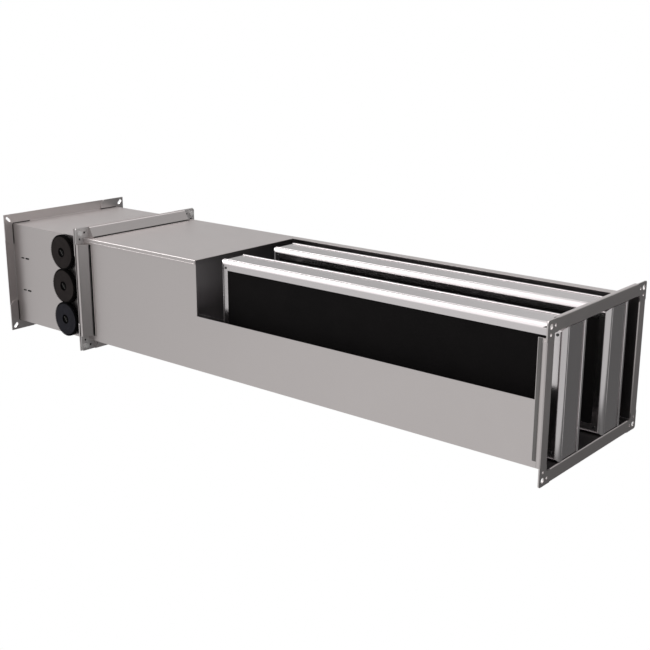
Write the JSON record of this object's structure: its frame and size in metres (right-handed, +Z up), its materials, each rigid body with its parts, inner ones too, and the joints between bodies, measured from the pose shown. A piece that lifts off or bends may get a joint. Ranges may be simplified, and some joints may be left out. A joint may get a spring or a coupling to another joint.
{
  "type": "duct sound attenuator with damper",
  "caption": "Rectangular flanged air duct section with cut-away casing, two sound-absorbing splitter baffles and a bolted multi-blade control damper worked by meshed gears",
  "frame": {"origin": "under the middle of the whole object, on the plane of the flanges' lowest edges", "axes": "+X along the duct from the damper's inlet to the attenuator's open outlet flange, +Y to the far side wall, +Z up"},
  "size_m": [1.843, 0.46, 0.36],
  "materials": {
    "galvanised": "galvanised sheet, fine even spangle, soft satin",
    "galvanised_pressed": "galvanised pressed plate, satin",
    "galvanised_baffle": "galvanised roll-formed strip, satin",
    "gasket_rubber": "matt black closed-cell foam",
    "zinc_bolt": "zinc-plated, satin",
    "black_fleece": "matt black non-woven facing",
    "mineral_wool": "pressed mineral fibre",
    "rivet_steel": "plated, satin",
    "blade_aluminium": "extruded, mill finish",
    "spindle_steel": "drawn bar, plated",
    "gear_plastic": "moulded, dark grey",
    "bush_plastic": "moulded, black"
  },
  "bodies": {
    "frame": {"casing_tray": "galvanised", "casing_lid": "galvanised", "outlet_flange_rail_top": "galvanised", "outlet_flange_rail_near": "galvanised", "outlet_flange_rail_bottom": "galvanised", "outlet_flange_rail_far": "galvanised", "outlet_flange_corner_bottom_near": "galvanised_pressed", "outlet_flange_corner_bottom_far": "galvanised_pressed", "outlet_flange_corner_top_far": "galvanised_pressed", "outlet_flange_corner_top_near": "galvanised_pressed", "upstream_flange_rail_top": "galvanised", "upstream_flange_rail_near": "galvanised", "upstream_flange_rail_bottom": "galvanised", "upstream_flange_rail_far": "galvanised", "upstream_flange_corner_bottom_near": "galvanised_pressed", "upstream_flange_corner_bottom_far": "galvanised_pressed", "upstream_flange_corner_top_far": "galvanised_pressed", "upstream_flange_corner_top_near": "galvanised_pressed", "joint_gasket": "gasket_rubber", "joint_bolts": "zinc_bolt", "joint_nuts": "zinc_bolt", "baffle_near_rail_top": "galvanised_baffle", "baffle_near_rail_bottom": "galvanised_baffle", "baffle_near_end_outlet": "galvanised_baffle", "baffle_near_end_inlet": "galvanised_baffle", "baffle_near_fleece": "black_fleece", "baffle_near_wool": "mineral_wool", "baffle_near_rivets": "rivet_steel", "baffle_far_rail_top": "galvanised_baffle", "baffle_far_rail_bottom": "galvanised_baffle", "baffle_far_end_outlet": "galvanised_baffle", "baffle_far_end_inlet": "galvanised_baffle", "baffle_far_fleece": "black_fleece", "baffle_far_wool": "mineral_wool", "baffle_far_rivets": "rivet_steel", "damper_panel_top": "galvanised", "damper_panel_bottom": "galvanised", "damper_panel_near": "galvanised", "damper_panel_far": "galvanised", "damper_corner_plate_bottom_near": "galvanised_pressed", "damper_corner_plate_bottom_far": "galvanised_pressed", "damper_corner_plate_top_far": "galvanised_pressed", "damper_corner_plate_top_near": "galvanised_pressed", "damper_outlet_corner_plates": "galvanised_pressed", "blade_top_bush_near": "bush_plastic", "blade_top_bush_far": "bush_plastic", "blade_middle_bush_near": "bush_plastic", "blade_middle_bush_far": "bush_plastic", "blade_bottom_bush_near": "bush_plastic", "blade_bottom_bush_far": "bush_plastic"},
    "blade_top_set": {"blade_top": "blade_aluminium", "blade_top_spindle": "spindle_steel", "blade_top_gear": "gear_plastic"},
    "blade_middle_set": {"blade_middle": "blade_aluminium", "blade_middle_spindle": "spindle_steel", "blade_middle_gear": "gear_plastic"},
    "blade_bottom_set": {"blade_bottom": "blade_aluminium", "blade_bottom_spindle": "spindle_steel", "blade_bottom_gear": "gear_plastic"}
  },
  "joints": [
    {"name": "blade_top_turn", "type": "hinge", "parent": "frame", "child": "blade_top_set", "pos_m": [-0.6585, 0, 0.28], "axis": [0, 1, 0], "range_deg": [0, 90]},
    {"name": "blade_middle_turn", "type": "hinge", "parent": "frame", "child": "blade_middle_set", "pos_m": [-0.6585, 0, 0.18], "axis": [0, 1, 0], "range_deg": [-90, 0]},
    {"name": "blade_bottom_turn", "type": "hinge", "parent": "frame", "child": "blade_bottom_set", "pos_m": [-0.6585, 0, 0.08], "axis": [0, 1, 0], "range_deg": [0, 90]}
  ],
  "couplings": [
    {"joint": "blade_middle_turn", "follows": "blade_top_turn", "ratio": -1},
    {"joint": "blade_bottom_turn", "follows": "blade_top_turn", "ratio": 1}
  ]
}
